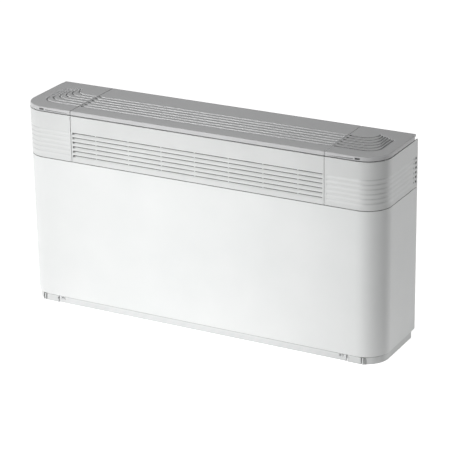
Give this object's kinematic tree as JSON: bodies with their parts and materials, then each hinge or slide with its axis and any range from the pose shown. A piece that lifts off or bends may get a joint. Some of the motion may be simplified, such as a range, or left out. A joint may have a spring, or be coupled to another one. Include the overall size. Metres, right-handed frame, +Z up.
{
  "type": "fan coil unit",
  "caption": "Low floor-standing fan coil cabinet with a front louvre outlet, grooved lid with hinged end flaps, centrifugal fans, slanted water coil and a pull-out filter in the plinth.",
  "frame": {"origin": "on the floor, under the middle of the cabinet's width and depth", "axes": "+X to the right seen from the front, -Y to the front, +Z up"},
  "size_m": [0.98, 0.21, 0.522],
  "materials": {
    "white_steel": "semi-gloss white powder coat",
    "white_plastic": "satin white moulding",
    "grey_plastic": "fine-grained grey moulding",
    "strip_plastic": "satin off-white moulding",
    "galvanised": "galvanised sheet",
    "bright_steel": "drawn bright bar",
    "dark_plastic": "dark moulding",
    "motor_paint": "dark stove enamel",
    "bronze": "sintered bronze",
    "vent_brass": "turned brass",
    "copper": "drawn copper tube",
    "fin_metal": "thin bright fin stock",
    "soft_rubber": "matt rubber",
    "foam": "open-cell foam",
    "mesh": "woven filter cloth",
    "can": "drawn can"
  },
  "bodies": {
    "chassis": {"front_panel": "white_steel", "left_end_cap": "white_plastic", "right_end_cap": "white_plastic", "outlet_grille": "white_plastic", "left_foot": "white_plastic", "right_foot": "white_plastic", "control_plate": "white_plastic", "terminal_box": "white_plastic", "terminal_cover": "white_plastic", "drain_tray": "white_plastic", "top_cover": "grey_plastic", "back_panel": "galvanised", "left_rear_head": "galvanised", "right_rear_head": "galvanised", "left_rear_plate": "galvanised", "right_rear_plate": "galvanised", "left_rear_sill": "galvanised", "right_rear_sill": "galvanised", "left_rear_rail": "galvanised", "right_rear_rail": "galvanised", "left_side_plate": "galvanised", "right_side_plate": "galvanised", "fan_deck": "galvanised", "left_scroll": "galvanised", "right_scroll": "galvanised", "motor_cradle": "galvanised", "left_coil_plate": "galvanised", "right_coil_plate": "galvanised", "left_hinge_bracket": "galvanised", "right_hinge_bracket": "galvanised", "capacitor_clip": "galvanised", "left_hinge_pin": "bright_steel", "right_hinge_pin": "bright_steel", "terminal_block": "dark_plastic", "cable_gland": "dark_plastic", "motor": "motor_paint", "left_bearing": "bronze", "right_bearing": "bronze", "air_vent": "vent_brass", "coil_tubes": "copper", "inlet_header": "copper", "outlet_header": "copper", "coil_fins": "fin_metal", "left_rubber_ring": "soft_rubber", "right_rubber_ring": "soft_rubber", "plenum_liner": "foam", "capacitor": "can"},
    "fan": {"motor_shaft": "bright_steel", "left_fan_wheel": "dark_plastic", "right_fan_wheel": "dark_plastic"},
    "left_lid": {"left_flap": "grey_plastic"},
    "right_lid": {"right_flap": "grey_plastic"},
    "filter": {"filter_frame": "strip_plastic", "filter_mesh": "mesh"},
    "left_catch": {"left_filter_catch": "strip_plastic"},
    "right_catch": {"right_filter_catch": "strip_plastic"},
    "thermostat": {"thermostat_knob": "dark_plastic"},
    "speed_switch": {"speed_knob": "dark_plastic"}
  },
  "joints": [
    {"name": "fan_spin", "type": "hinge", "parent": "chassis", "child": "fan", "pos_m": [0, -0.003, 0.1202], "axis": [1, 0, 0], "continuous": true},
    {"name": "left_flap_lift", "type": "hinge", "parent": "chassis", "child": "left_lid", "pos_m": [-0.41775, 0.092, 0.5116], "axis": [-1, 0, 0], "range_deg": [0, 80]},
    {"name": "right_flap_lift", "type": "hinge", "parent": "chassis", "child": "right_lid", "pos_m": [0.41775, 0.092, 0.5116], "axis": [-1, 0, 0], "range_deg": [0, 80]},
    {"name": "filter_slide", "type": "slide", "parent": "chassis", "child": "filter", "axis": [0, -1, 0], "range_m": [0, 0.17]},
    {"name": "left_catch_push", "type": "slide", "parent": "filter", "child": "left_catch", "axis": [1, 0, 0], "range_m": [0, 0.003], "stiffness_N_per_m": 300},
    {"name": "right_catch_push", "type": "slide", "parent": "filter", "child": "right_catch", "axis": [-1, 0, 0], "range_m": [0, 0.003], "stiffness_N_per_m": 300},
    {"name": "thermostat_turn", "type": "hinge", "parent": "chassis", "child": "thermostat", "pos_m": [0.4005, -0.008, 0.4836], "axis": [0, 0, 1], "range_deg": [-135, 135]},
    {"name": "speed_turn", "type": "hinge", "parent": "chassis", "child": "speed_switch", "pos_m": [0.4405, -0.008, 0.4836], "axis": [0, 0, 1], "range_deg": [-60, 60]}
  ]
}
